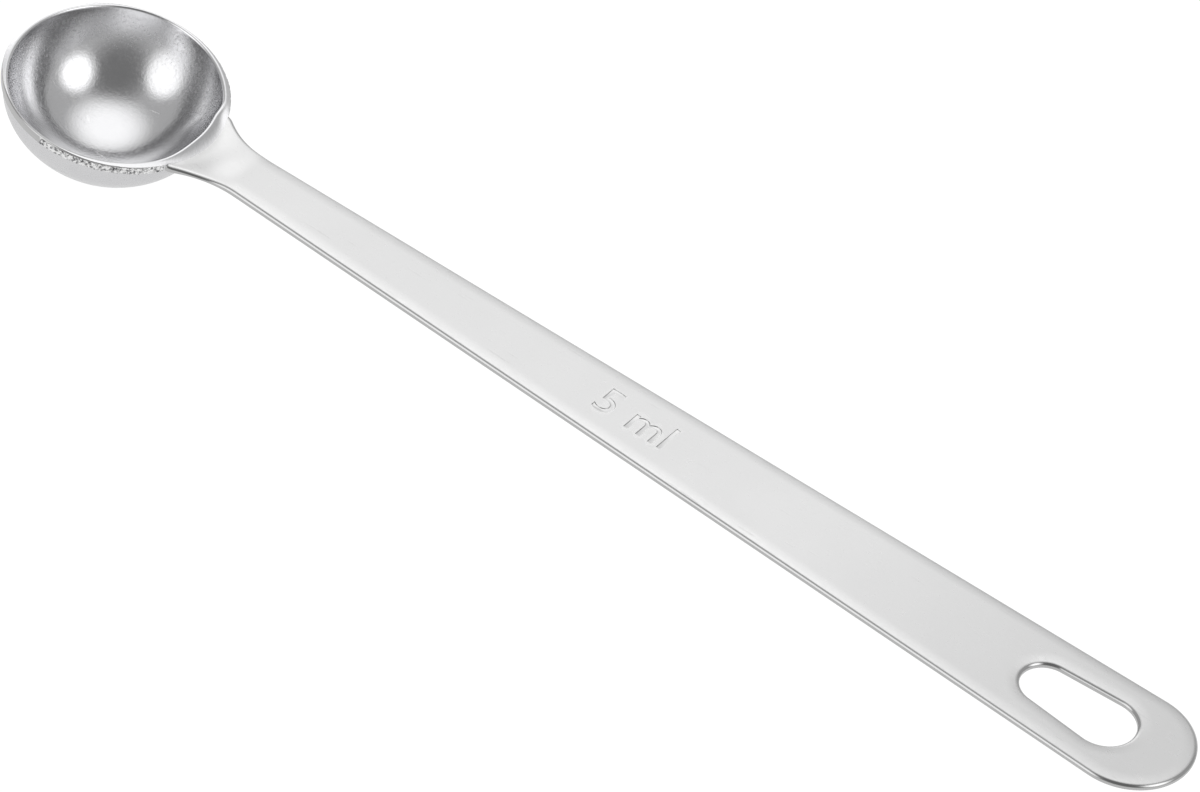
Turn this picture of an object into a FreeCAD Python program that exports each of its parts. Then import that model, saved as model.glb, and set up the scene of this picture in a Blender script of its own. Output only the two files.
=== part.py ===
import FreeCAD, Part
import math
import os
import Sketcher

# Measuring spoon of about 5 ml: a deep drawn round bowl and a flat tapered
# handle strap with a hanging slot, joined flush along the bowl's trimmed lip.
# Millimetres. +X runs from the bowl to the handle tip, +Z is up out of the bowl,
# and the origin is under the middle of the spoon, level with the bowl's bottom.

doc = FreeCAD.newDocument("measuring_spoon")

# Driving dimensions
sheet = doc.addObject("Spreadsheet::Sheet", "Params")
sizes = [
    # sheet metal of both pieces
    ("gauge", 1.1),
    # inner radius of the bowl at its upright wall and its depth inside, from the
    # crown of the lip, sized for a level measure of 5 ml
    ("bowl_radius", 13.65),
    ("bowl_depth", 12.1),
    # inner radius of the rounded side, between the upright wall and the wide floor
    ("side_radius", 8.0),
    # bend radius under the lip, where the wall is drawn outward
    ("bend_under", 0.3),
    # fall of the lip outward from its crown, in degrees
    ("lip_fall", 14.0),
    # width from the upright wall to the round trimming cut of the lip
    ("lip_width", 2.0),
    # distance of the trimming cut's centre from the bowl's axis, toward the handle
    ("trim_offset", 0.5),
    # handle from the lip's trimmed edge to the tip, along the handle
    ("handle_length", 163.0),
    # rise of the handle toward its tip, in degrees
    ("handle_rise", 1.85),
    # handle's top face below the crown of the lip, at the lip's edge
    ("neck_drop", 0.2),
    # half width of the handle where the neck's flare begins
    ("neck_half", 4.3),
    # distance of that place from the lip's edge
    ("neck_run", 7.85),
    # radius of the flare on each side of the neck
    ("neck_flare", 15.0),
    # half width of the neck where it meets the lip, and the radius of its corners
    ("neck_wide", 7.0),
    ("neck_corner", 1.2),
    # strap left inside the lip's edge before the neck is cut to fit it
    ("neck_tuck", 5.0),
    # radius of the full-round handle tip
    ("tip_radius", 9.1),
    # hanging slot: its wide end's centre from the tip, the distance between
    # the centres of its two ends, and the radius of the narrow and the wide end
    ("slot_from_tip", 13.28),
    ("slot_pitch", 9.37),
    ("slot_small", 3.7),
    ("slot_large", 4.47),
    # rounding of the handle's polished edges, above and below
    ("edge_top", 0.45),
    ("edge_under", 0.3),
    # start of the upright cuts above the lip's crown
    ("cut_over", 3.0),
]
for row, (name, value) in enumerate(sizes, start=1):
    sheet.set("A%d" % row, name)
    sheet.set("B%d" % row, str(value))
    sheet.setAlias("B%d" % row, name)
doc.recompute()
dim = {name: float(value) for name, value in sizes}
trim_radius = dim["bowl_radius"] + dim["lip_width"]
draw_radius = dim["bend_under"] + dim["gauge"]


def vec(x, y, z=0.0):
    return FreeCAD.Vector(x, y, z)


def origin_plane(body, role):
    for feature in body.Origin.OriginFeatures:
        if feature.Role == role:
            return feature


def new_body(name):
    body = doc.addObject("PartDesign::Body", name)
    body.Label = name
    return body


def new_sketch(body, role, name):
    sketch = body.newObject("Sketcher::SketchObject", name)
    sketch.AttachmentSupport = [(origin_plane(body, role), "")]
    sketch.MapMode = "FlatFace"
    return sketch


def bound(sketch, name, expression, constraint):
    index = sketch.addConstraint(constraint)
    sketch.renameConstraint(index, name)
    sketch.setExpression("Constraints." + name, expression)


def check(feature, what):
    doc.recompute()
    if feature.Shape.isNull() or not feature.Shape.isValid():
        raise RuntimeError("bad shape: " + what)


START, END, CENTRE = 1, 2, 3

# Bowl: a round cup with a wide floor, drawn from sheet, with a lip that rolls outward
bowl = new_body("bowl")
bowl.setExpression(
    "Placement.Base.x",
    "-Params.handle_length * cos(Params.handle_rise * 1 deg) / 2 - Params.trim_offset",
)
bowl.setExpression("Placement.Base.z", "Params.bowl_depth + Params.gauge")

profile = new_sketch(bowl, "XZ_Plane", "bowl_profile")
ri = dim["bowl_radius"]
wall = dim["gauge"]
deep = dim["bowl_depth"]
rs = dim["side_radius"]
rd = draw_radius
fall = math.radians(dim["lip_fall"])
far = trim_radius + dim["trim_offset"] + wall
below = deep - rd
rf = ((ri - rs) ** 2 + below ** 2 - rs ** 2) / (2 * (below - rs))
floor = vec(0, rf - deep)
side = vec(ri - rs, -rd)
roll = vec(ri + rd, -rd)
lean = math.atan2(side.y - floor.y, side.x)
lip = vec(roll.x + rd * math.sin(fall), -rd + rd * math.cos(fall))
lip_end = vec(far, lip.y - (far - lip.x) * math.tan(fall))
down = vec(-math.sin(fall), -math.cos(fall)) * wall


def arc(centre, radius, first, last):
    circle = Part.Circle(centre, vec(0, 0, 1), radius)
    return Part.ArcOfCircle(circle, first, last)


inner_floor = profile.addGeometry(arc(floor, rf, -math.pi / 2, lean))
inner_side = profile.addGeometry(arc(side, rs, lean, 0))
inner_roll = profile.addGeometry(arc(roll, rd, math.pi / 2 - fall, math.pi))
lip_top = profile.addGeometry(Part.LineSegment(lip, lip_end))
lip_edge = profile.addGeometry(Part.LineSegment(lip_end, lip_end + down))
lip_under = profile.addGeometry(Part.LineSegment(lip_end + down, lip + down))
outer_roll = profile.addGeometry(arc(roll, rd - wall, math.pi / 2 - fall, math.pi))
outer_side = profile.addGeometry(arc(side, rs + wall, lean, 0))
outer_floor = profile.addGeometry(arc(floor, rf + wall, -math.pi / 2, lean))
axis_line = profile.addGeometry(Part.LineSegment(vec(0, -deep - wall), vec(0, -deep)))

con = Sketcher.Constraint
profile.addConstraint(con("Tangent", inner_floor, END, inner_side, START))
profile.addConstraint(con("Tangent", inner_side, END, inner_roll, END))
profile.addConstraint(con("Tangent", inner_roll, START, lip_top, START))
profile.addConstraint(con("Coincident", lip_top, END, lip_edge, START))
profile.addConstraint(con("Coincident", lip_edge, END, lip_under, START))
profile.addConstraint(con("Tangent", lip_under, END, outer_roll, START))
profile.addConstraint(con("Tangent", outer_roll, END, outer_side, END))
profile.addConstraint(con("Tangent", outer_side, START, outer_floor, END))
profile.addConstraint(con("Coincident", outer_floor, START, axis_line, START))
profile.addConstraint(con("Coincident", axis_line, END, inner_floor, START))
profile.addConstraint(con("PointOnObject", axis_line, START, -2))
profile.addConstraint(con("PointOnObject", axis_line, END, -2))
profile.addConstraint(con("PointOnObject", inner_floor, CENTRE, -2))
profile.addConstraint(con("Coincident", outer_floor, CENTRE, inner_floor, CENTRE))
profile.addConstraint(con("Coincident", outer_side, CENTRE, inner_side, CENTRE))
profile.addConstraint(con("Coincident", outer_roll, CENTRE, inner_roll, CENTRE))
profile.addConstraint(con("Horizontal", inner_side, CENTRE, inner_roll, CENTRE))
profile.addConstraint(con("Perpendicular", lip_top, lip_edge))
bound(
    profile,
    "wall_place",
    "Params.bowl_radius + Params.bend_under + Params.gauge",
    con("DistanceX", -1, 1, inner_roll, CENTRE, ri + rd),
)
bound(profile, "bowl_depth", "Params.bowl_depth", con("DistanceY", axis_line, END, -1, 1, deep))
bound(profile, "side_radius", "Params.side_radius", con("Radius", inner_side, rs))
bound(profile, "roll_radius", "Params.bend_under + Params.gauge", con("Radius", inner_roll, rd))
bound(
    profile,
    "roll_drop",
    "Params.bend_under + Params.gauge",
    con("DistanceY", inner_roll, CENTRE, -1, 1, rd),
)
bound(profile, "wall", "Params.gauge", con("Distance", lip_edge, wall))
bound(
    profile,
    "lip_fall",
    "Params.lip_fall * 1 deg",
    con("Angle", lip_top, END, -1, END, fall),
)
bound(
    profile,
    "lip_reach",
    "Params.bowl_radius + Params.lip_width + Params.trim_offset + Params.gauge",
    con("DistanceX", -1, 1, lip_top, END, far),
)
doc.recompute()

cup = bowl.newObject("PartDesign::Revolution", "bowl_draw")
cup.Profile = profile
cup.ReferenceAxis = (profile, ["V_Axis"])
cup.Angle = 360
check(cup, "bowl draw")
drawn_volume = cup.Shape.Volume

# Round trimming cut of the lip, off centre toward the handle
ring = new_sketch(bowl, "XY_Plane", "lip_trim_ring")
ring.AttachmentOffset = FreeCAD.Placement(vec(0, 0, dim["cut_over"]), FreeCAD.Rotation())
ring.setExpression("AttachmentOffset.Base.z", "Params.cut_over")
offset = dim["trim_offset"]
cut_circle = ring.addGeometry(Part.Circle(vec(offset, 0), vec(0, 0, 1), trim_radius))
outside = ring.addGeometry(Part.Circle(vec(offset, 0), vec(0, 0, 1), 2 * trim_radius))
ring.addConstraint(con("PointOnObject", cut_circle, CENTRE, -1))
ring.addConstraint(con("Coincident", outside, CENTRE, cut_circle, CENTRE))
bound(ring, "trim_offset", "Params.trim_offset", con("DistanceX", -1, 1, cut_circle, CENTRE, offset))
bound(ring, "trim_radius", "Params.bowl_radius + Params.lip_width", con("Radius", cut_circle, trim_radius))
bound(
    ring,
    "blank_radius",
    "2 * (Params.bowl_radius + Params.lip_width)",
    con("Radius", outside, 2 * trim_radius),
)
doc.recompute()

trim = bowl.newObject("PartDesign::Pocket", "lip_trim")
trim.Profile = ring
trim.Type = "ThroughAll"
check(trim, "lip trim")
if not trim.Shape.Volume < 0.999 * drawn_volume:
    raise RuntimeError("the lip was not trimmed")

# Handle: a flat strap, blanked to a long taper with a full-round tip
handle = new_body("handle")
handle.setExpression(
    "Placement.Base.x",
    "-Params.handle_length * cos(Params.handle_rise * 1 deg) / 2",
)
handle.setExpression("Placement.Base.z", "Params.bowl_depth + Params.gauge")


def on_handle_face(sketch):
    tilt = FreeCAD.Rotation(vec(0, -1, 0), dim["handle_rise"])
    base = vec(trim_radius, 0, -dim["neck_drop"])
    sketch.AttachmentOffset = FreeCAD.Placement(base, tilt)
    sketch.setExpression("AttachmentOffset.Base.x", "Params.bowl_radius + Params.lip_width")
    sketch.setExpression("AttachmentOffset.Base.z", "-Params.neck_drop")
    sketch.setExpression("AttachmentOffset.Rotation.Angle", "Params.handle_rise * 1 deg")


outline = new_sketch(handle, "XY_Plane", "handle_outline")
on_handle_face(outline)
tip_r = dim["tip_radius"]
tip_x = dim["handle_length"] - tip_r
half = dim["neck_half"]
run = dim["neck_run"]
flare = dim["neck_flare"]
wide = dim["neck_wide"]
corner = dim["neck_corner"]
inside = -dim["neck_tuck"]
span = math.hypot(tip_x - run, half)
taper = math.asin(tip_r / span) - math.atan2(half, tip_x - run)
flare_x = run - flare * math.sin(taper)
flare_y = half + flare * math.cos(taper)
corner_y = wide - corner
corner_x = flare_x - math.sqrt((flare + corner) ** 2 - (flare_y - corner_y) ** 2)
low = math.atan2(corner_y - flare_y, corner_x - flare_x)
turn = math.pi / 2 + taper
join_x = tip_x + tip_r * math.cos(turn)
join_y = tip_r * math.sin(turn)

far_neck = outline.addGeometry(
    arc(vec(flare_x, flare_y), flare, low, taper - math.pi / 2)
)
far_edge = outline.addGeometry(Part.LineSegment(vec(run, half), vec(join_x, join_y)))
tip = outline.addGeometry(arc(vec(tip_x, 0), tip_r, -turn, turn))
near_edge = outline.addGeometry(Part.LineSegment(vec(join_x, -join_y), vec(run, -half)))
near_neck = outline.addGeometry(
    arc(vec(flare_x, -flare_y), flare, math.pi / 2 - taper, -low)
)
near_corner = outline.addGeometry(
    arc(vec(corner_x, -corner_y), corner, -math.pi / 2, -low - math.pi)
)
near_land = outline.addGeometry(
    Part.LineSegment(vec(corner_x, -wide), vec(inside, -wide))
)
neck_end = outline.addGeometry(Part.LineSegment(vec(inside, -wide), vec(inside, wide)))
far_land = outline.addGeometry(Part.LineSegment(vec(inside, wide), vec(corner_x, wide)))
far_corner = outline.addGeometry(
    arc(vec(corner_x, corner_y), corner, low + math.pi, math.pi / 2)
)
outline.addConstraint(con("Tangent", far_neck, END, far_edge, START))
outline.addConstraint(con("Tangent", far_edge, END, tip, END))
outline.addConstraint(con("Tangent", tip, START, near_edge, START))
outline.addConstraint(con("Tangent", near_edge, END, near_neck, START))
outline.addConstraint(con("Tangent", near_neck, END, near_corner, END))
outline.addConstraint(con("Tangent", near_corner, START, near_land, START))
outline.addConstraint(con("Coincident", near_land, END, neck_end, START))
outline.addConstraint(con("Coincident", neck_end, END, far_land, START))
outline.addConstraint(con("Tangent", far_land, END, far_corner, END))
outline.addConstraint(con("Tangent", far_corner, START, far_neck, START))
outline.addConstraint(con("PointOnObject", tip, CENTRE, -1))
outline.addConstraint(con("Symmetric", far_edge, START, near_edge, END, -1))
outline.addConstraint(con("Symmetric", neck_end, START, neck_end, END, -1))
outline.addConstraint(con("Equal", far_neck, near_neck))
outline.addConstraint(con("Equal", far_corner, near_corner))
outline.addConstraint(con("Horizontal", far_land))
outline.addConstraint(con("Horizontal", near_land))
bound(outline, "neck_tuck", "Params.neck_tuck", con("DistanceX", neck_end, START, -1, 1, -inside))
bound(outline, "tip_radius", "Params.tip_radius", con("Radius", tip, tip_r))
bound(
    outline,
    "tip_centre",
    "Params.handle_length - Params.tip_radius",
    con("DistanceX", -1, 1, tip, CENTRE, tip_x),
)
bound(outline, "neck_half", "Params.neck_half", con("DistanceY", -1, 1, far_edge, START, half))
bound(outline, "neck_run", "Params.neck_run", con("DistanceX", -1, 1, far_edge, START, run))
bound(outline, "neck_flare", "Params.neck_flare", con("Radius", far_neck, flare))
bound(outline, "neck_wide", "Params.neck_wide", con("DistanceY", -1, 1, neck_end, END, wide))
bound(outline, "neck_corner", "Params.neck_corner", con("Radius", far_corner, corner))
doc.recompute()

strap = handle.newObject("PartDesign::Pad", "handle_blank")
strap.Profile = outline
strap.setExpression("Length", "Params.gauge")
strap.Reversed = True
check(strap, "handle blank")
blank_volume = strap.Shape.Volume

# Hanging slot, wider toward the tip
hole = new_sketch(handle, "XY_Plane", "slot_outline")
on_handle_face(hole)
s_out = dim["handle_length"] - dim["slot_from_tip"]
s_in = s_out - dim["slot_pitch"]
r_in = dim["slot_small"]
r_out = dim["slot_large"]
lead = math.asin((r_out - r_in) / (s_out - s_in))
up = math.pi / 2 + lead
small_end = hole.addGeometry(arc(vec(s_in, 0), r_in, up, 2 * math.pi - up))
large_end = hole.addGeometry(arc(vec(s_out, 0), r_out, -up, up))
aim = vec(math.cos(up), math.sin(up))
aim_low = vec(math.cos(up), -math.sin(up))
slot_far = hole.addGeometry(
    Part.LineSegment(vec(s_in, 0) + aim * r_in, vec(s_out, 0) + aim * r_out)
)
slot_near = hole.addGeometry(
    Part.LineSegment(vec(s_in, 0) + aim_low * r_in, vec(s_out, 0) + aim_low * r_out)
)
hole.addConstraint(con("Tangent", small_end, START, slot_far, START))
hole.addConstraint(con("Tangent", slot_far, END, large_end, END))
hole.addConstraint(con("Tangent", large_end, START, slot_near, END))
hole.addConstraint(con("Tangent", slot_near, START, small_end, END))
hole.addConstraint(con("PointOnObject", small_end, CENTRE, -1))
hole.addConstraint(con("PointOnObject", large_end, CENTRE, -1))
bound(
    hole,
    "slot_pitch",
    "Params.slot_pitch",
    con("DistanceX", small_end, CENTRE, large_end, CENTRE, dim["slot_pitch"]),
)
bound(
    hole,
    "slot_place",
    "Params.handle_length - Params.slot_from_tip",
    con("DistanceX", -1, 1, large_end, CENTRE, s_out),
)
bound(hole, "slot_small", "Params.slot_small", con("Radius", small_end, r_in))
bound(hole, "slot_large", "Params.slot_large", con("Radius", large_end, r_out))
doc.recompute()

slot = handle.newObject("PartDesign::Pocket", "hanging_slot")
slot.Profile = hole
slot.setExpression("Length", "2 * Params.gauge")
check(slot, "hanging slot")
if not slot.Shape.Volume < 0.99 * blank_volume:
    raise RuntimeError("the slot was not cut")


# Polished edges: the outline and the slot are rounded on both faces
def face_edges(feature, upward):
    best = None
    for face in feature.Shape.Faces:
        normal = face.normalAt(0, 0)
        if isinstance(face.Surface, Part.Plane) and normal.z * upward > 0.9:
            best = face
    names = []
    for index, edge in enumerate(feature.Shape.Edges, start=1):
        ends = [v.Point.x for v in edge.Vertexes]
        at_neck_end = max(ends) < trim_radius - 0.9 * dim["neck_tuck"]
        if at_neck_end:
            continue
        if any(edge.isSame(other) for other in best.Edges):
            names.append("Edge%d" % index)
    return names


round_top = handle.newObject("PartDesign::Fillet", "top_edges")
round_top.Base = (slot, face_edges(slot, 1))
round_top.setExpression("Radius", "Params.edge_top")
check(round_top, "top edges")
round_under = handle.newObject("PartDesign::Fillet", "under_edges")
round_under.Base = (round_top, face_edges(round_top, -1))
round_under.setExpression("Radius", "Params.edge_under")
check(round_under, "under edges")
if not round_under.Shape.Volume < round_top.Shape.Volume < slot.Shape.Volume:
    raise RuntimeError("the edges were not rounded")

# The neck's end is cut to the lip's round trimmed edge, which it butts against
mouth = new_sketch(handle, "XY_Plane", "neck_cut_outline")
mouth.AttachmentOffset = FreeCAD.Placement(vec(0, 0, dim["cut_over"]), FreeCAD.Rotation())
mouth.setExpression("AttachmentOffset.Base.z", "Params.cut_over")
neck_circle = mouth.addGeometry(Part.Circle(vec(0, 0), vec(0, 0, 1), trim_radius))
mouth.addConstraint(con("Coincident", neck_circle, CENTRE, -1, 1))
bound(mouth, "trim_radius", "Params.bowl_radius + Params.lip_width", con("Radius", neck_circle, trim_radius))
doc.recompute()

neck = handle.newObject("PartDesign::Pocket", "neck_cut")
neck.Profile = mouth
neck.Type = "ThroughAll"
check(neck, "neck cut")
if not neck.Shape.Volume < 0.999 * round_under.Shape.Volume:
    raise RuntimeError("the neck was not cut")

doc.recompute()
for item in doc.Objects:
    if "Invalid" in item.State or "Error" in item.State:
        raise RuntimeError("document object failed: " + item.Name)

os.makedirs("parts", exist_ok=True)
for body in (bowl, handle):
    if body.Shape.isNull() or not body.Shape.isValid() or len(body.Shape.Solids) != 1:
        raise RuntimeError("bad solid: " + body.Label)
    body.Shape.exportStep("parts/" + body.Label + ".step")
    box = body.Shape.optimalBoundingBox(False)
    print(body.Label, "volume", round(body.Shape.Volume, 1))
    print("  x", round(box.XMin, 2), round(box.XMax, 2))
    print("  y", round(box.YMin, 2), round(box.YMax, 2))
    print("  z", round(box.ZMin, 2), round(box.ZMax, 2))
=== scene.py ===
# %% [markdown]
# # A measuring spoon in stainless steel
#
# The real spoon is two bits of sheet steel about 1.1 mm thick: a deep bowl
# drawn in a press, and a long flat strap that butts against the bowl's lip.
# The CAD frame already holds both at their true size and place. This lesson
# models them again inside that frame, with the soft edges, the rough trim and
# the finishes that the eye sees.

# %% Load the CAD frame
import math

import bpy
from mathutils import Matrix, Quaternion, Vector


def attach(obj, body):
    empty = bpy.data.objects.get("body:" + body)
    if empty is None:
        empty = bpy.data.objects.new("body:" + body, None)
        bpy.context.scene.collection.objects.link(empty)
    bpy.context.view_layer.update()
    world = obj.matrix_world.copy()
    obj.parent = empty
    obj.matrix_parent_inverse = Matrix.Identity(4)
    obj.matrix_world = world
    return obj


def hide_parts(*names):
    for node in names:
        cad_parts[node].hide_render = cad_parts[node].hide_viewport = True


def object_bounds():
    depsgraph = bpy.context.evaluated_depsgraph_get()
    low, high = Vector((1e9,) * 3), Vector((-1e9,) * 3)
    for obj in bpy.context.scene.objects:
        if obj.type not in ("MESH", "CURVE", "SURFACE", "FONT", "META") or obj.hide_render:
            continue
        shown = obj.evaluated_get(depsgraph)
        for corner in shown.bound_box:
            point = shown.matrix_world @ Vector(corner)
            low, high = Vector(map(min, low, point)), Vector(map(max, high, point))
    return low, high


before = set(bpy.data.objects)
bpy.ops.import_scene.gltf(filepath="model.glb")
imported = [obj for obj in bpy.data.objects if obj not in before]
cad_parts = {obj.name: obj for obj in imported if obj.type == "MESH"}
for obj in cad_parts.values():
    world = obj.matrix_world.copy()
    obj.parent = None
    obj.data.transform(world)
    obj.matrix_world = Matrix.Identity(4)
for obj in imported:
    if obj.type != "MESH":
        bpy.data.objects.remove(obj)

MM = 0.001
cad_low, cad_high = [corner.copy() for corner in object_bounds()]
print("CAD box in mm:", [round(c / MM, 2) for c in (*cad_low, *cad_high)])

# %% [markdown]
# ## The camera
#
# The photograph was taken from far away with a long lens, so the two sides of
# the handle hardly draw together. A camera could be placed by eye, but the
# outline of the lip and of the handle were solved for beforehand, and the
# answer is written here as a compass direction, a height, a turn about the
# view and a distance. The camera looks at a point just under the handle.

# %% Camera
def compass(degrees, height):
    a, e = math.radians(degrees), math.radians(height)
    return Vector((math.sin(a) * math.cos(e), -math.cos(a) * math.cos(e), math.sin(e)))


AIM, DISTANCE, ROLL = Vector((-8.37, 17.55, -3.83)) * MM, 2.6795, math.radians(14.81)
back = compass(26.31, 44.38)
bpy.ops.object.camera_add(location=AIM + back * DISTANCE)
camera = bpy.context.object
camera.name = "photo_camera"
camera.rotation_mode = "QUATERNION"
camera.rotation_quaternion = (-back).to_track_quat("-Z", "Y") @ Quaternion((0, 0, 1), ROLL)
camera.data.sensor_width = 36
camera.data.lens = 600
camera.data.clip_end = 20
bpy.context.scene.camera = camera
bpy.context.scene.view_settings.view_transform = "Standard"
print("camera at", [round(c, 3) for c in camera.location], "m")

# %% [markdown]
# ## The studio
#
# Polished steel has almost no colour of its own: it shows the room. In the
# bowl one can read that room like a map. A softbox with a bright middle stands
# on the right, another one left of the camera, a large soft light hangs
# overhead and leans back, a low one shines from behind the bowl, and there is
# a darker place round the camera itself. A picture of a room could be wrapped
# round the scene, but a shaded world says the same with a few numbers.
#
# One function adds every shader node in this file: it takes the kind of node,
# what goes into its sockets, and its settings. Another turns a written colour
# into the linear values that the sockets take.

# %% Node helper and colours
def add_node(tree, kind, sockets=None, **settings):
    node = tree.nodes.new(kind)
    for name, value in settings.items():
        setattr(node, name, value)
    for socket, value in (sockets or {}).items():
        if isinstance(value, bpy.types.NodeSocket):
            tree.links.new(value, node.inputs[socket])
        else:
            node.inputs[socket].default_value = value
    return node


def linear(code):
    steps = [int(code[i:i + 2], 16) / 255 for i in (1, 3, 5)]
    return [c / 12.92 if c <= 0.04045 else ((c + 0.055) / 1.055) ** 2.4 for c in steps] + [1.0]


WHITE = linear("#ffffff")
print("white is", WHITE, "and middle grey is", [round(c, 3) for c in linear("#808080")])

# %% Where the lights stand
ROOM_LEVEL = 0.46
# each light: its direction, how far its core and its soft edge reach in
# degrees, and how much it adds to the level of the room
LIGHTS = (
    (compass(90, 40), 4, 26, 0.95),    # softbox on the right
    (compass(90, 40), 4, 20, 0.50),    # its bright middle
    (compass(-30, 25), 13, 26, 0.95),  # softbox left of the camera
    (compass(-140, 69), 3, 42, 0.80),  # large soft light overhead
    (compass(-132, 18), 8, 22, 0.9),   # low light behind the bowl
    (compass(-160, 8), 15, 45, 0.10),  # faint glow at the back
    (compass(28, 47), 10, 44, -0.27),  # darker place round the camera
)
print("lights in the room:", len(LIGHTS))

# %% World: the room round the spoon
world = bpy.data.worlds.new("studio_room")
bpy.context.scene.world = world
world.use_nodes = True
walls = world.node_tree
walls.nodes.clear()
ray = add_node(walls, "ShaderNodeTexCoord").outputs["Generated"]
level = ROOM_LEVEL
for stands, core, reach, adds in LIGHTS:
    facing = add_node(
        walls, "ShaderNodeVectorMath", {0: ray, 1: stands}, operation="DOT_PRODUCT"
    ).outputs["Value"]
    soft = add_node(
        walls, "ShaderNodeMapRange",
        {
            "Value": facing, "To Min": 0.0, "To Max": adds,
            "From Min": math.cos(math.radians(reach)), "From Max": math.cos(math.radians(core)),
        },
        interpolation_type="SMOOTHSTEP",
    ).outputs["Result"]
    level = add_node(
        walls, "ShaderNodeMath", {0: level, 1: soft}, operation="ADD"
    ).outputs["Value"]
room = add_node(walls, "ShaderNodeBackground", {"Color": WHITE, "Strength": level})
plain = add_node(walls, "ShaderNodeBackground", {"Color": WHITE, "Strength": 1.0})
path = add_node(walls, "ShaderNodeLightPath")
seen = add_node(
    walls, "ShaderNodeMixShader",
    {0: path.outputs["Is Camera Ray"], 1: room.outputs[0], 2: plain.outputs[0]},
)
add_node(walls, "ShaderNodeOutputWorld", {"Surface": seen.outputs[0]})
print("world nodes:", len(walls.nodes))

# %% [markdown]
# The spoon lies on a sweep of white paper. More light could turn grey paper
# white, but it would bleach the steel as well. So the paper is a dull grey
# that still takes the spoon's shadow, and it glows by itself: nearly white to
# the camera, and less so in the steel that mirrors it.

# %% Floor
FLOOR_SIZE, SEEN_GLOW, MIRRORED_GLOW = 14, 0.96, 0.70
bpy.ops.object.select_all(action="DESELECT")
bpy.ops.mesh.primitive_plane_add(size=FLOOR_SIZE)
floor = bpy.context.object
floor.name = "paper_floor"
# matt paper: a plain white ground without an edge
paper = bpy.data.materials.new("white_paper_sweep")
paper.use_nodes = True
tree = paper.node_tree
tree.nodes.clear()
path = add_node(tree, "ShaderNodeLightPath")
mirrored = add_node(
    tree, "ShaderNodeMath", {0: path.outputs["Is Glossy Ray"], 1: MIRRORED_GLOW},
    operation="MULTIPLY",
)
direct = add_node(
    tree, "ShaderNodeMath", {0: path.outputs["Is Camera Ray"], 1: SEEN_GLOW},
    operation="MULTIPLY",
)
glow = add_node(
    tree, "ShaderNodeMath", {0: direct.outputs[0], 1: mirrored.outputs[0]}, operation="MAXIMUM"
)
lit = add_node(tree, "ShaderNodeBsdfDiffuse", {"Color": linear("#646464")})
held = add_node(tree, "ShaderNodeEmission", {"Color": WHITE, "Strength": glow.outputs[0]})
both = add_node(tree, "ShaderNodeAddShader", {0: lit.outputs[0], 1: held.outputs[0]})
add_node(tree, "ShaderNodeOutputMaterial", {"Surface": both.outputs[0]})
floor.data.materials.append(paper)
print("floor", [round(c, 1) for c in floor.dimensions], "m")

# %% [markdown]
# ## The steel finishes
#
# The whole spoon is one kind of stainless steel, but four jobs left four
# surfaces on it. The press drew the bowl and a buffing wheel followed, the
# strap was tumbled to a soft satin, the strap's edges were polished round, and
# the lip was sheared and left raw. Each finish gets its own material, because
# roughness and grain are what the eye tells them apart by. Two of them also
# hold painted light in their colours: the polished edges are painted darker as
# painted shade, and the sheared lip carries painted glints and painted shade
# in its pits.
#
# All four wear in the same way. A noise that is drawn out long and thin keeps
# only its highest crests, as hairline scratches. The edges that hands and
# cutlery rub are found by how sharply the surface bends.

# %% What wear leaves
# hairlines about 0.2 mm wide are coarser than real, so that a few of them still show
HAIR_MM, HAIR_TURN, HAIR_STRETCH = 0.4, (0.3, 0.2, 0.7), (0.06, 1.0, 0.05)
HAIR_KEPT, RUBBED = (0.74, 0.78), (0.52, 0.60)


def wear(tree, place):
    across = add_node(
        tree, "ShaderNodeMapping",
        {"Vector": place, "Rotation": HAIR_TURN, "Scale": HAIR_STRETCH},
    )
    hair = add_node(
        tree, "ShaderNodeTexNoise",
        {"Vector": across.outputs[0], "Scale": 1 / (HAIR_MM * MM), "Detail": 1.0},
    )
    scratch = add_node(
        tree, "ShaderNodeMapRange",
        {"Value": hair.outputs["Fac"], "From Min": HAIR_KEPT[0], "From Max": HAIR_KEPT[1]},
    )
    bend = add_node(tree, "ShaderNodeNewGeometry").outputs["Pointiness"]
    worn = add_node(
        tree, "ShaderNodeMapRange", {"Value": bend, "From Min": RUBBED[0], "From Max": RUBBED[1]}
    )
    return scratch.outputs[0], worn.outputs[0]


print("hairlines keep the noise above", HAIR_KEPT[0], "and rubbed edges start at", RUBBED[0])

# %% [markdown]
# The rest is one recipe too. A fine noise is the grain: it sets the roughness
# and a small relief. A slow one shades the colour a little, and on the sheared
# lip a fast one paints glints and the shade of its pits into the colour.
# Scratches make the steel duller and are cut into it, and rubbed edges are
# smoother and brighter. Four ready-made pictures of metal would do as well, but
# with one recipe the finishes differ only by the sizes that make each of them
# what it is.

# %% One recipe for steel
GRAIN_SPREAD, RUBBED_ADDS, HAIR_ADDS, HAIR_DEEP_MM = (0.3, 0.7), -0.05, 0.15, 0.006


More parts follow.
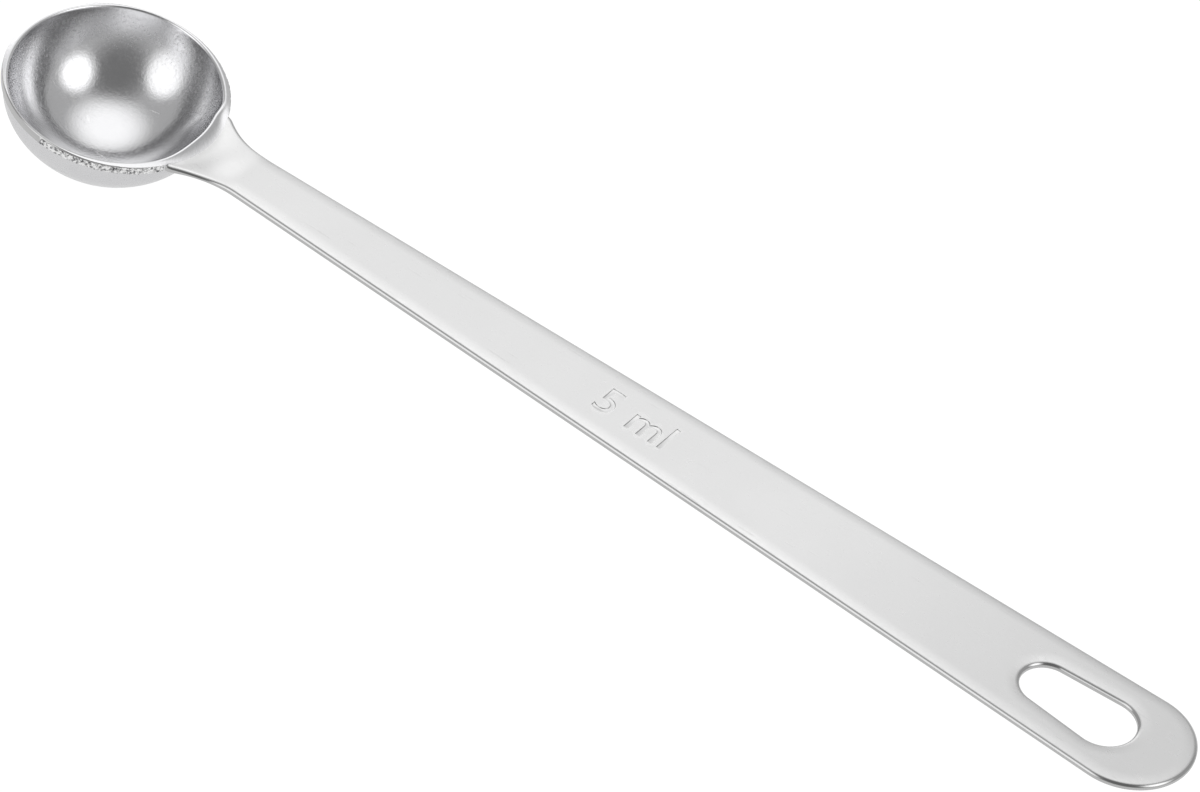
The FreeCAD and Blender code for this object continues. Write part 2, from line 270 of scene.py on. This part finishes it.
def steel(name, grain_mm, stretch, rough, bump_mm, colours, cloud_mm, tone_and_glint_spread=(0.0, 1.0)):
    made = bpy.data.materials.new(name)
    made.use_nodes = True
    tree = made.node_tree
    shader = tree.nodes["Principled BSDF"]
    place = add_node(tree, "ShaderNodeTexCoord").outputs["Object"]
    flow = add_node(tree, "ShaderNodeMapping", {"Vector": place, "Scale": stretch})
    grain = add_node(
        tree, "ShaderNodeTexNoise",
        {"Vector": flow.outputs[0], "Scale": 1 / (grain_mm * MM), "Detail": 3.0, "Roughness": 0.6},
    ).outputs["Fac"]
    cloud = add_node(
        tree, "ShaderNodeTexNoise", {"Vector": place, "Scale": 1 / (cloud_mm * MM), "Detail": 2.0}
    ).outputs["Fac"]
    scratch, worn = wear(tree, place)
    uneven = add_node(
        tree, "ShaderNodeMapRange",
        {
            "Value": grain, "From Min": GRAIN_SPREAD[0], "From Max": GRAIN_SPREAD[1],
            "To Min": rough[0], "To Max": rough[1],
        },
    )
    rubbed = add_node(
        tree, "ShaderNodeMath", {0: worn, 1: RUBBED_ADDS, 2: uneven.outputs[0]},
        operation="MULTIPLY_ADD",
    )
    dulled = add_node(
        tree, "ShaderNodeMath", {0: scratch, 1: HAIR_ADDS, 2: rubbed.outputs[0]},
        operation="MULTIPLY_ADD",
    )
    # slow patches of tone; on the sheared lip, small patches of painted glints and painted pit
    # shade
    patches = add_node(
        tree, "ShaderNodeMapRange", {"Value": cloud, "From Min": tone_and_glint_spread[0], "From Max": tone_and_glint_spread[1]}
    )
    tint = add_node(
        tree, "ShaderNodeMix",
        {0: patches.outputs[0], 6: linear(colours[1]), 7: linear(colours[0])}, data_type="RGBA",
    )
    bright = add_node(
        tree, "ShaderNodeMix", {0: worn, 6: tint.outputs[2], 7: linear(colours[0])},
        data_type="RGBA",
    )
    lines = add_node(
        tree, "ShaderNodeBump",
        {"Height": scratch, "Strength": 1.0, "Distance": HAIR_DEEP_MM * MM}, invert=True,
    )
    relief = add_node(
        tree, "ShaderNodeBump",
        {
            "Height": grain, "Strength": 1.0, "Distance": bump_mm * MM,
            "Normal": lines.outputs[0],
        },
    )
    shader.inputs["Metallic"].default_value = 1.0
    tree.links.new(bright.outputs[2], shader.inputs["Base Color"])
    tree.links.new(dulled.outputs[0], shader.inputs["Roughness"])
    tree.links.new(relief.outputs[0], shader.inputs["Normal"])
    print("material", name, "with", len(tree.nodes), "nodes")
    return made


print("the recipe takes a grain, a roughness, a relief, two colours and a cloud")

# %% Four finishes
EVEN, ALONG_STRAP = (1.0, 1.0, 1.0), (0.25, 1.0, 1.0)
# a soft mirror with a sandy bloom, from drawing and buffing
drawn = steel(
    "stainless_steel_drawn_and_buffed", grain_mm=0.45, stretch=EVEN, rough=(0.08, 0.22),
    bump_mm=0.012, colours=("#e9e9ea", "#dfdfe1"), cloud_mm=7.0,
)
# a pale even satin, its grain drawn out along the strap
tumbled = steel(
    "stainless_steel_tumbled_satin", grain_mm=0.25, stretch=ALONG_STRAP, rough=(0.27, 0.37),
    bump_mm=0.003, colours=("#eaeaea", "#e4e4e4"), cloud_mm=9.0,
)
# a clean mirror line along the strap's edges, its colour painted darker than
# the other steel: painted shade for the dark line along the edges
polished = steel(
    "stainless_steel_polished_edge_painted_shade", grain_mm=0.30, stretch=EVEN, rough=(0.10, 0.16),
    bump_mm=0.002, colours=("#cecece", "#c4c4c4"), cloud_mm=5.0,
)
# torn metal: its colour is painted in small patches of white and dark grey,
# as painted glints on the facets and painted shade in the pits between them
sheared = steel(
    "stainless_steel_sheared_raw_painted_glints", grain_mm=0.45, stretch=EVEN, rough=(0.12, 0.30),
    bump_mm=0.06, colours=("#ffffff", "#666668"), cloud_mm=0.4, tone_and_glint_spread=(0.38, 0.58),
)

# %% [markdown]
# The satin is painted a shade darker over the strap's far third, towards its
# tip: painted shade for light that falls off along the strap. Only that
# finish gets a slow ramp along the strap.

# %% Painted shade towards the strap's tip
TIP_SHADE_FROM, TIP_SHADE_TO, TIP_SHADE_GREY = 35, 90, "#d2d2d2"
tree = tumbled.node_tree
shader = tree.nodes["Principled BSDF"]
satin = shader.inputs["Base Color"].links[0].from_socket
place = add_node(tree, "ShaderNodeTexCoord").outputs["Object"]
along = add_node(tree, "ShaderNodeSeparateXYZ", {0: place}).outputs["X"]
# painted shade: the satin turns greyer from 35 to 90 mm along the strap
tip_shade = add_node(
    tree, "ShaderNodeMapRange",
    {"Value": along, "From Min": TIP_SHADE_FROM * MM, "From Max": TIP_SHADE_TO * MM},
)
shaded_satin = add_node(
    tree, "ShaderNodeMix", {0: tip_shade.outputs[0], 6: satin, 7: linear(TIP_SHADE_GREY)}, data_type="RGBA"
)
tree.links.new(shaded_satin.outputs[2], shader.inputs["Base Color"])
print("satin now has", len(tree.nodes), "nodes")

# %% [markdown]
# The press stretches the bowl's wall more than its floor, and the buffing
# wheel reaches it less, so the wall stays duller up to the crest of the mouth,
# which is bright again. That is a second ramp, this time up the bowl and on the
# roughness.

# %% A duller wall in the bowl
DULL_FROM, DULL_TO, DULL_ADDS = 4.5, 9.5, 0.09
BRIGHT_FROM, BRIGHT_TO = 11.8, 12.7
tree = drawn.node_tree
shader = tree.nodes["Principled BSDF"]
buffed = shader.inputs["Roughness"].links[0].from_socket
place = add_node(tree, "ShaderNodeTexCoord").outputs["Object"]
height = add_node(tree, "ShaderNodeSeparateXYZ", {0: place}).outputs["Z"]
wall = add_node(
    tree, "ShaderNodeMapRange",
    {
        "Value": height, "From Min": DULL_FROM * MM, "From Max": DULL_TO * MM,
        "To Min": 0.0, "To Max": DULL_ADDS,
    },
    interpolation_type="SMOOTHSTEP",
)
crest = add_node(
    tree, "ShaderNodeMapRange",
    {
        "Value": height, "From Min": BRIGHT_FROM * MM, "From Max": BRIGHT_TO * MM,
        "To Min": 1.0, "To Max": 0.0,
    },
)
duller = add_node(
    tree, "ShaderNodeMath", {0: wall.outputs[0], 1: crest.outputs[0], 2: buffed},
    operation="MULTIPLY_ADD",
)
tree.links.new(duller.outputs[0], shader.inputs["Roughness"])
print("drawn steel now has", len(tree.nodes), "nodes")

# %% [markdown]
# ## The bowl
#
# A press draws the bowl from a flat disc: a round cup whose wall leans out a
# little to the mouth, and a lip that turns over there. Buffing then leaves a
# narrow crest at the mouth. The bowl could be cut from a sphere, but turning a
# profile is closer to the real tool. A single point is swung along each arc
# and pushed along each straight, first up the inside and then back down the
# outside, and the finished line is spun once round the bowl's axis.

# %% Drawing a line with one point
def only(piece):
    bpy.ops.object.select_all(action="DESELECT")
    piece.select_set(True)
    bpy.context.view_layer.objects.active = piece


def start_line(name, x, y, z):
    bpy.ops.object.select_all(action="DESELECT")
    bpy.ops.mesh.primitive_plane_add(size=MM)
    piece = bpy.context.object
    piece.name = name
    bpy.ops.object.mode_set(mode="EDIT")
    bpy.ops.mesh.select_mode(type="VERT")
    bpy.ops.mesh.select_all(action="SELECT")
    bpy.ops.mesh.merge(type="CENTER")
    bpy.ops.mesh.select_all(action="SELECT")
    bpy.ops.transform.translate(value=Vector((x, y, z)) * MM)
    return piece


def swing(x, y, z, axis, degrees, steps):
    bpy.ops.mesh.spin(
        steps=steps, angle=math.radians(degrees), center=Vector((x, y, z)) * MM, axis=axis
    )


def push(x, y, z, steps=1):
    for _ in range(steps):
        bpy.ops.mesh.extrude_region_move(
            TRANSFORM_OT_translate={"value": Vector((x, y, z)) * MM / steps}
        )


ALONG_Y, ALONG_Z = (0, 1, 0), (0, 0, 1)
print("a point can now be swung and pushed")

# %% Measures of the bowl
GAUGE, CROWN_Z, DEPTH = 1.1, 13.2, 12.1
TRIM_X, BOWL_X = -81.4575, -81.9575
# inside: one ball, then the narrow crest of the mouth
CUP_R, CREST_R = 15.05, 0.4
CUP_Z, CREST_Z = CROWN_Z - DEPTH + CUP_R, CROWN_Z - CREST_R
TIP = math.degrees(math.asin((CUP_Z - CREST_Z) / (CUP_R + CREST_R)))
CREST_X = BOWL_X + (CUP_R + CREST_R) * math.cos(math.radians(TIP))
# outside: the bend under the lip, the rounded side and the wide floor
WALL_R, SIDE_R, ROLL_R = 13.65, 8.0, 1.4
WALL_Z = CROWN_Z - ROLL_R
below = DEPTH - ROLL_R
FLOOR_R = ((WALL_R - SIDE_R) ** 2 + below ** 2 - SIDE_R ** 2) / (2 * (below - SIDE_R))
FLOOR_Z = CROWN_Z - DEPTH + FLOOR_R
SIDE_X, ROLL_X = BOWL_X + WALL_R - SIDE_R, BOWL_X + WALL_R + ROLL_R
LEAN = math.degrees(math.atan2(FLOOR_Z - WALL_Z, SIDE_X - BOWL_X))
# the lip falls away outside the crest
FALL, LIP = 14.0, 1.6
fall_sin, fall_cos = math.sin(math.radians(FALL)), math.cos(math.radians(FALL))
top_x, top_z = CREST_X + CREST_R * fall_sin, CREST_Z + CREST_R * fall_cos
under_x = ROLL_X + (ROLL_R - GAUGE) * fall_sin
under_z = WALL_Z + (ROLL_R - GAUGE) * fall_cos
print("mouth radius", round(CREST_X - BOWL_X, 2), "mm, floor radius", round(FLOOR_R, 2), "mm")

# %% Bowl profile, spun round
BOWL_STEPS, MERGE = 192, 0.002
bowl = start_line("drawn_bowl", BOWL_X, 0, CROWN_Z - DEPTH)
swing(BOWL_X, 0, CUP_Z, ALONG_Y, 90 - TIP, 60)
swing(CREST_X, 0, CREST_Z, ALONG_Y, TIP - 90 - FALL, 16)
push(LIP * fall_cos, 0, -LIP * fall_sin, 16)
push(under_x - top_x, 0, under_z - top_z)
push(-LIP * fall_cos, 0, LIP * fall_sin, 4)
swing(ROLL_X, 0, WALL_Z, ALONG_Y, 90 + FALL, 10)
swing(SIDE_X, 0, WALL_Z, ALONG_Y, -LEAN, 22)
swing(BOWL_X, 0, FLOOR_Z, ALONG_Y, LEAN - 90, 30)
bpy.ops.mesh.select_all(action="SELECT")
swing(BOWL_X, 0, 0, ALONG_Z, 360, BOWL_STEPS)
bpy.ops.mesh.select_all(action="SELECT")
bpy.ops.mesh.remove_doubles(threshold=MERGE * MM)
bpy.ops.mesh.normals_make_consistent(inside=False)
bpy.ops.object.mode_set(mode="OBJECT")
print("spun bowl:", len(bowl.data.vertices), "points")

# %% [markdown]
# The mouth of the real bowl is no true circle. Pressing and welding left it a
# little wider across the spoon, shorter on the side away from the handle, and
# pressed in where the strap is joined. Scaling the bowl would also move its
# outside, so only the inside and the crest are moved here, not at all at the
# floor and fully at the mouth, and each change fades out softly.

# %% Pull the mouth out of round
MOUTH_SHIFT, MOUTH_WIDE, MOUTH_SHORT, PRESSED = 0.125, 1.019, 0.045, 0.7
# the pressed place ends here on the near and on the far side, and fades over so much
NEAR_END, NEAR_FADE, FAR_END, FAR_FADE = 8, 8, 8.5, 3.5
# the changes grow over this distance from the bowl's axis
GROW = 12
# how near the ball a point of the inside lies, and how far under the crest the lip's top goes
ON_BALL, LIP_UNDER = 0.01, 0.35


def ease(t):
    t = min(max(t, 0), 1)
    return t * t * (3 - 2 * t)


def mouth_move(x, y):
    out = x - BOWL_X
    pressed = (
        PRESSED * ease((y + NEAR_END) / NEAR_FADE) * ease((FAR_END - y) / FAR_FADE)
        * ease(out / GROW)
    )
    return MOUTH_SHIFT - MOUTH_SHORT * out * ease(-out / GROW) - pressed


for point in bowl.data.vertices:
    x, y, z = point.co / MM
    inside = math.dist((x, y, z), (BOWL_X, 0, CUP_Z)) < CUP_R + ON_BALL
    if inside or z > CREST_Z - LIP_UNDER:
        share = min((z - CROWN_Z) / DEPTH + 1, 1)
        point.co.x += mouth_move(x, y) * share * MM
        point.co.y += (MOUTH_WIDE - 1) * y * share * MM
print("bowl with its mouth:", [round(c / MM, 2) for c in bowl.dimensions], "mm")

# %% [markdown]
# The lip of a drawn bowl is wavy until it is trimmed. On this spoon the trim
# is not quite centred on the bowl, so the lip is wide next to the handle and
# narrow opposite it. The punch that trims it drags the top of the sheet down
# before it shears, which leaves a small round shoulder over the torn face. So
# the tool here is a punch with that shoulder, turned from a profile like the
# bowl, and a Boolean modifier keeps what is inside it. The tool brings the raw
# sheared material with it.

# %% The punch with its shoulder
TRIM_R = 15.55
SHOULDER, SHOULDER_TURN, SHOULDER_DROP = 0.30, 65, 0.28
SHOULDER_Z = CROWN_Z - SHOULDER_DROP
PUNCH_Z, PUNCH_STEPS = -20, 288

punch = start_line("trim_punch", TRIM_X, 0, PUNCH_Z)
push(TRIM_R, 0, 0)
push(0, 0, SHOULDER_Z - PUNCH_Z)
swing(TRIM_X + TRIM_R - SHOULDER, 0, SHOULDER_Z, ALONG_Y, SHOULDER_TURN, 8)
turned = math.radians(SHOULDER_TURN)
left = TRIM_R - SHOULDER * (1 - math.cos(turned))
push(-left, 0, left / math.tan(turned))
bpy.ops.mesh.select_all(action="SELECT")
swing(TRIM_X, 0, 0, ALONG_Z, 360, PUNCH_STEPS)
bpy.ops.mesh.select_all(action="SELECT")
bpy.ops.mesh.remove_doubles(threshold=MERGE * MM)
bpy.ops.mesh.normals_make_consistent(inside=False)
bpy.ops.object.mode_set(mode="OBJECT")
print("punch:", [round(c / MM, 2) for c in punch.dimensions], "mm")

# %% Trim the lip
def cut(piece, tool, operation):
    only(piece)
    trim = piece.modifiers.new("cut", "BOOLEAN")
    trim.object, trim.operation, trim.solver = tool, operation, "EXACT"
    trim.material_mode = "TRANSFER"
    bpy.ops.object.modifier_apply(modifier="cut")


punch.data.materials.append(sheared)
bowl.data.materials.append(drawn)
cut(bowl, punch, "INTERSECT")
bpy.data.objects.remove(punch)
# the polished finish, with its painted shade, for the lip's shoulder and smooth half
bowl.data.materials.append(polished)
print("trimmed bowl:", [round(c / MM, 2) for c in bowl.dimensions], "mm")
print("its finishes:", [m.name for m in bowl.data.materials])

# %% [markdown]
# Next to the handle the lip doesn't just fall away: it dips and then levels
# out into the strap, which gives the soft grey crescent beside the bright
# mouth. The points of the lip there are set to a curve that is steepest just
# past the crest, levels out, and rises again into the strap's own plane. The
# dip is longest in the middle and fades to the strap's sides, hence the
# crescent. The strap's end follows the same curve later on.

# %% The curve of the neck
SEAT_X, SEAT_Z, RISE = -65.8075, 13.0, math.radians(1.85)
DIP, DIP_SLOPE, RECOVER = 3.0, math.tan(math.radians(28)), 9.0
# half the width of the dip and its least length, then half the neck and its soft edge
DIP_HALF, DIP_LEAST, NECK_HALF, NECK_FADE = 7.5, 0.5, 8.2, 1.4


def strap_height(x):
    return SEAT_Z + (x - SEAT_X) * math.tan(RISE)


def past_crest(x, y):
    return math.hypot(x - mouth_move(x, y) - BOWL_X, y / MOUTH_WIDE) - (CREST_X - BOWL_X)


def neck_height(x, y):
    past = past_crest(x, y)
    run = max(DIP * (1 - (y / DIP_HALF) ** 2), DIP_LEAST)
    if past < run:
        return CROWN_Z - DIP_SLOPE * (past - past * past / (2 * run))
    risen = ease((past - run) / (RECOVER - run))
    return (CROWN_Z - DIP_SLOPE * run / 2) * (1 - risen) + strap_height(x) * risen


def neck_share(y):
    return ease((NECK_HALF - abs(y)) / NECK_FADE)


print("lowest place of the dip:", round(CROWN_Z - DIP_SLOPE * DIP / 2, 2), "mm up")

# %% Level the lip into the neck
LIP_DEEP = 0.6
moved = 0
for point in bowl.data.vertices:
    x, y, z = point.co / MM
    if x < TRIM_X or z < CROWN_Z - LIP_DEEP or past_crest(x, y) <= 0:
        continue
    point.co.z += (neck_height(x, y) - z) * neck_share(y) * MM
    moved += neck_share(y) > 0
print("lip points levelled into the neck:", moved)

# %% [markdown]
# The sheared edge is the roughest place on the spoon. On the handle's half of
# the lip it is a torn, speckled band under a smooth shoulder, and on the other
# half it was dressed smooth. The torn faces are found by where they stand, cut
# finer and shaken a little with Randomize, always with the same seed. The
# shoulder and the smooth half get the finish of a polished edge, and the part
# that the strap covers goes back to the bowl's own.

# %% Roughen the sheared edge
STRAP_HALF, TORN_FROM, UPRIGHT = 7.1, TRIM_X - 1, 0.12
TEAR, TEAR_SEED = 0.09, 7
# RAW faces get the sheared finish with its painted glints and pit shade, BRIGHT ones the polished
# finish with its painted shade
BOWL_OWN, RAW, BRIGHT = 0, 1, 2
torn = 0
only(bowl)
bpy.ops.object.mode_set(mode="EDIT")
bpy.ops.mesh.select_all(action="DESELECT")
bpy.ops.object.mode_set(mode="OBJECT")
for face in bowl.data.polygons:
    if bowl.data.materials[face.material_index] != sheared:
        continue
    x, y = face.center.xy / MM
    free = x < TRIM_X or abs(y) > STRAP_HALF
    face.select = free and x > TORN_FROM and abs(face.normal.z) < UPRIGHT
    face.material_index = RAW if face.select else BRIGHT if free else BOWL_OWN
    torn += face.select
bpy.ops.object.mode_set(mode="EDIT")
bpy.ops.mesh.select_mode(type="FACE")
bpy.ops.mesh.subdivide(number_cuts=1)
bpy.ops.transform.vertex_random(offset=TEAR * MM, seed=TEAR_SEED, normal=1.0)
bpy.ops.object.mode_set(mode="OBJECT")
bpy.ops.object.shade_smooth_by_angle(angle=math.radians(40))
for face in bowl.data.polygons:
    if face.material_index == RAW:
        face.use_smooth = False
print("sheared faces roughened:", torn)

# %% [markdown]
# ## The handle
#
# The handle is one strap, blanked from sheet: a long straight taper, a flared
# neck, a full-round tip and a hanging slot. Half of its outline is drawn flat
# with the same moving point, from the tip round to the neck and back along
# the middle, so that the slot comes out as a bay in that half. Filled and
# mirrored, it is the whole blank.

# %% Measures of the strap
TIP_R, TIP_X = 9.1, 153.87
NECK_X, NECK_Y, FLARE = 7.85, 4.3, 15.0
WIDE, CORNER, INSIDE = 7.0, 2.2, -5.0
SLOT_IN, SLOT_OUT, SLOT_R_IN, SLOT_R_OUT = 140.35, 149.72, 3.7, 4.47
# the upright land in the middle of the edge, and how far the top rises over it
LAND, TOP_RISE = 0.254, 0.546

taper = math.asin(TIP_R / math.hypot(TIP_X - NECK_X, NECK_Y)) - math.atan2(NECK_Y, TIP_X - NECK_X)
flare_x, flare_y = NECK_X - FLARE * math.sin(taper), NECK_Y + FLARE * math.cos(taper)
corner_y = WIDE - CORNER
corner_x = flare_x - math.sqrt((FLARE + CORNER) ** 2 - (flare_y - corner_y) ** 2)
low = math.atan2(corner_y - flare_y, corner_x - flare_x)
lead = math.asin((SLOT_R_OUT - SLOT_R_IN) / (SLOT_OUT - SLOT_IN))
join_x, join_y = TIP_X - TIP_R * math.sin(taper), TIP_R * math.cos(taper)
mid_level = -(TOP_RISE + LAND / 2)
print("the strap widens by", round(2 * math.degrees(taper), 2), "degrees towards its tip")

# %% Half the outline
handle = start_line("strap_handle", TIP_X + TIP_R, 0, mid_level)
swing(TIP_X, 0, 0, ALONG_Z, -90 - math.degrees(taper), 44)
push(NECK_X - join_x, NECK_Y - join_y, 0, 30)
swing(flare_x, flare_y, 0, ALONG_Z, math.degrees(taper - low) - 90, 16)
swing(corner_x, corner_y, 0, ALONG_Z, math.degrees(low) + 90, 8)
push(INSIDE - corner_x, 0, 0)
push(0, -WIDE, 0)
push(SLOT_IN - SLOT_R_IN - INSIDE, 0, 0, 30)
swing(SLOT_IN, 0, 0, ALONG_Z, 90 - math.degrees(lead), 20)
push(
    SLOT_OUT - SLOT_IN - (SLOT_R_OUT - SLOT_R_IN) * math.sin(lead),
    (SLOT_R_OUT - SLOT_R_IN) * math.cos(lead), 0, 6,
)
swing(SLOT_OUT, 0, 0, ALONG_Z, 90 + math.degrees(lead), 24)
push(TIP_X + TIP_R - SLOT_OUT - SLOT_R_OUT, 0, 0, 4)
print("half the outline is drawn, to", round(TIP_X + TIP_R, 2), "mm from the seat")

# %% The whole blank
BLANK_MERGE = 0.005
bpy.ops.mesh.select_all(action="SELECT")
bpy.ops.mesh.remove_doubles(threshold=BLANK_MERGE * MM)
bpy.ops.mesh.edge_face_add()
bpy.ops.object.mode_set(mode="OBJECT")
other_half = handle.modifiers.new("other_half", "MIRROR")
other_half.use_axis = (False, True, False)
other_half.merge_threshold = BLANK_MERGE * MM
bpy.ops.object.modifier_apply(modifier="other_half")
thickness = handle.modifiers.new("thickness", "SOLIDIFY")
thickness.thickness, thickness.offset = LAND * MM, 0
bpy.ops.object.modifier_apply(modifier="thickness")
print("blank:", [round(c / MM, 2) for c in handle.dimensions], "mm")

# %% [markdown]
# Tumbling and polishing rolled the blank's edges over, wide and soft on the
# top and tighter underneath. A bevel can't be wider than half the sheet, so
# the roll is built up by insets: each one steps inwards a little and rises a
# little less than the one before, all round the outline and the slot at once.

# %% Picking faces and rolling an edge
# a last narrow ring keeps the flat face flat up to the roll
FLAT_RING = 0.12


def face_pick(piece, wanted):
    bpy.ops.object.mode_set(mode="EDIT")
    bpy.ops.mesh.select_all(action="DESELECT")
    bpy.ops.object.mode_set(mode="OBJECT")
    for face in piece.data.polygons:
        face.select = wanted(face)
    bpy.ops.object.mode_set(mode="EDIT")
    bpy.ops.mesh.select_mode(type="FACE")


def roll_over(arcs, run_off, run_steps):
    # arcs: radius, slope at the start and at the end in degrees, steps
    path = [(0, 0)]
    for radius, steep, gentle, steps in arcs:
        start_in, start_up = path[-1]
        for i in range(1, steps + 1):
            a, b = math.radians(steep), math.radians(steep + (gentle - steep) * i / steps)
            path.append((
                start_in + radius * (math.sin(a) - math.sin(b)),
                start_up + radius * (math.cos(b) - math.cos(a)),
            ))
    start_in, start_up = path[-1]
    slope = math.tan(math.radians(arcs[-1][2]))
    for i in range(1, run_steps + 1):
        t = i / run_steps
        path.append((start_in + run_off * t, start_up + slope * run_off * (t - t * t / 2)))
    path.append((path[-1][0] + FLAT_RING, path[-1][1]))
    for (was_in, was_up), (now_in, now_up) in zip(path, path[1:]):
        bpy.ops.mesh.inset(
            thickness=(now_in - was_in) * MM, depth=(now_up - was_up) * MM, use_even_offset=True
        )
    return path[-1]


print("an edge can now be rolled over")

# %% Roll the edges
FLAT = 0.9
TOP_ARCS, TOP_RUN, TOP_RUN_STEPS = [(0.2, 90, 55, 3), (0.85, 55, 6, 10)], 1.4, 7
UNDER_ARCS, UNDER_RUN, UNDER_RUN_STEPS = [(0.3, 90, 0, 5)], 0.01, 1
only(handle)
bpy.ops.object.mode_set(mode="EDIT")
bpy.ops.mesh.select_all(action="SELECT")
bpy.ops.mesh.normals_make_consistent(inside=False)
face_pick(handle, lambda face: face.normal.z > FLAT)
top_roll = roll_over(TOP_ARCS, TOP_RUN, TOP_RUN_STEPS)
face_pick(handle, lambda face: face.normal.z < -FLAT)
under_roll = roll_over(UNDER_ARCS, UNDER_RUN, UNDER_RUN_STEPS)
bpy.ops.object.mode_set(mode="OBJECT")
print("top roll, in and up:", [round(c, 3) for c in top_roll])
print("under roll, in and down:", [round(c, 3) for c in under_roll])

# %% [markdown]
# The flat top is one large face so far, and a large face can't follow the
# curve of the neck or take a mark cleanly. Subdividing would cut it where its
# outline says, so it is cut by planes instead: closely at the neck, a little
# less so round the mark, and seldom along the rest.

# %% Cut the flat top finer
LEVEL, CUTS_END = 0.99, 82
NECK_CUTS = [0.25 * i - 2.5 for i in range(45)]
LENGTH_CUTS = [*range(12, 62, 4), *range(63, 82), *range(85, 131, 4)]
WIDTH_CUTS = range(-6, 7)
for axis, places, end in (
    (Vector((1, 0, 0)), NECK_CUTS + LENGTH_CUTS, TIP_X + TIP_R),
    (Vector((0, 1, 0)), WIDTH_CUTS, CUTS_END),
):
    for place in places:
        face_pick(handle, lambda face: face.normal.z > LEVEL and face.center.x < end * MM)
        bpy.ops.mesh.bisect(plane_co=axis * place * MM, plane_no=axis)
bpy.ops.object.mode_set(mode="OBJECT")
heights = [p.co.z / MM for p in handle.data.vertices]
print("strap from", round(min(heights), 3), "to", round(max(heights), 3), "mm")

# %% [markdown]
# A measuring spoon says how much it holds. The mark is struck into the strap
# with a steel letter punch before tumbling, so it is shallow and its walls are
# round. A text object with a rounded edge is the punch here: it is turned
# into a mesh, sunk a little over a tenth of a millimetre into the top, and
# taken away from it.

# %% Strike the mark
MARK_X, MARK_SIZE, MARK_THINNER = 72, 7, -0.1
MARK_UP, MARK_THICK, MARK_ROUND = 0.1, 0.1, 0.13
bpy.ops.object.select_all(action="DESELECT")
bpy.ops.object.text_add(location=(MARK_X * MM, 0, MARK_UP * MM))
letters = bpy.context.object
letters.data.body = "5 ml"
letters.data.align_x, letters.data.align_y = "CENTER", "CENTER"
letters.data.size, letters.data.offset = MARK_SIZE * MM, MARK_THINNER * MM
letters.data.extrude, letters.data.bevel_depth = MARK_THICK * MM, MARK_ROUND * MM
letters.data.bevel_resolution = 2
bpy.ops.object.convert(target="MESH")
letters = bpy.context.object
bpy.ops.object.transform_apply(location=True, rotation=True, scale=True)
bpy.ops.object.mode_set(mode="EDIT")
bpy.ops.mesh.select_all(action="SELECT")
bpy.ops.mesh.remove_doubles(threshold=MERGE * MM)
bpy.ops.mesh.normals_make_consistent(inside=False)
bpy.ops.object.mode_set(mode="OBJECT")
before = len(handle.data.polygons)
print("letter punch:", [round(c / MM, 2) for c in letters.dimensions], "mm")
cut(handle, letters, "DIFFERENCE")
bpy.data.objects.remove(letters)
print("faces made by the mark:", len(handle.data.polygons) - before)

# %% [markdown]
# The satin covers the strap's two broad faces and the polish its rolled edges,
# so the slope of a face says which of them it gets. The strap then goes to its
# seat, tilted by its rise. There it could run under the lip, but the real one
# butts against it: a plain round punch cuts its end to the lip's own circle,
# and its top follows the curve of the neck, so that both stay flush.

# %% Finishes of the strap
# the rolled edges get the polished finish, whose colour holds painted shade
SATIN, POLISH_AND_SHADE = 0, 1
handle.data.materials.clear()
handle.data.materials.append(tumbled)
handle.data.materials.append(polished)
for face in handle.data.polygons:
    face.material_index = SATIN if abs(face.normal.z) > FLAT else POLISH_AND_SHADE
print("satin faces:", sum(face.material_index == SATIN for face in handle.data.polygons))

# %% Seat the strap against the lip
PUNCH_LONG, STRAP_TOP = 60, 0.7
handle.location = Vector((SEAT_X, 0, SEAT_Z)) * MM
handle.rotation_euler = (0, -RISE, 0)
only(handle)
bpy.ops.object.transform_apply(location=True, rotation=True, scale=True)
bpy.ops.object.select_all(action="DESELECT")
bpy.ops.mesh.primitive_cylinder_add(
    vertices=PUNCH_STEPS, radius=TRIM_R * MM, depth=PUNCH_LONG * MM,
    location=(TRIM_X * MM, 0, CROWN_Z * MM),
)
punch = bpy.context.object
cut(handle, punch, "DIFFERENCE")
for point in handle.data.vertices:
    x, y, z = point.co / MM
    if x < SEAT_X + RECOVER and z > strap_height(x) - STRAP_TOP:
        point.co.z += (neck_height(x, y) - strap_height(x)) * neck_share(y) * MM
bpy.ops.object.shade_smooth_by_angle(angle=math.radians(35))
bpy.data.objects.remove(punch)
print("handle:", [round(c / MM, 2) for c in handle.dimensions], "mm")

# %% [markdown]
# ## Hand over
#
# Both pieces take the place of their CAD nodes and ride on the one body of a
# spoon, which has no moving part.

# %% Ride on the one body
for piece, node, finish in ((bowl, "bowl", "bowl_steel"), (handle, "handle", "handle_steel")):
    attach(piece, "root")
    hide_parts(node)
    print(piece.name, "has", sum(len(f.vertices) - 2 for f in piece.data.polygons), "triangles")
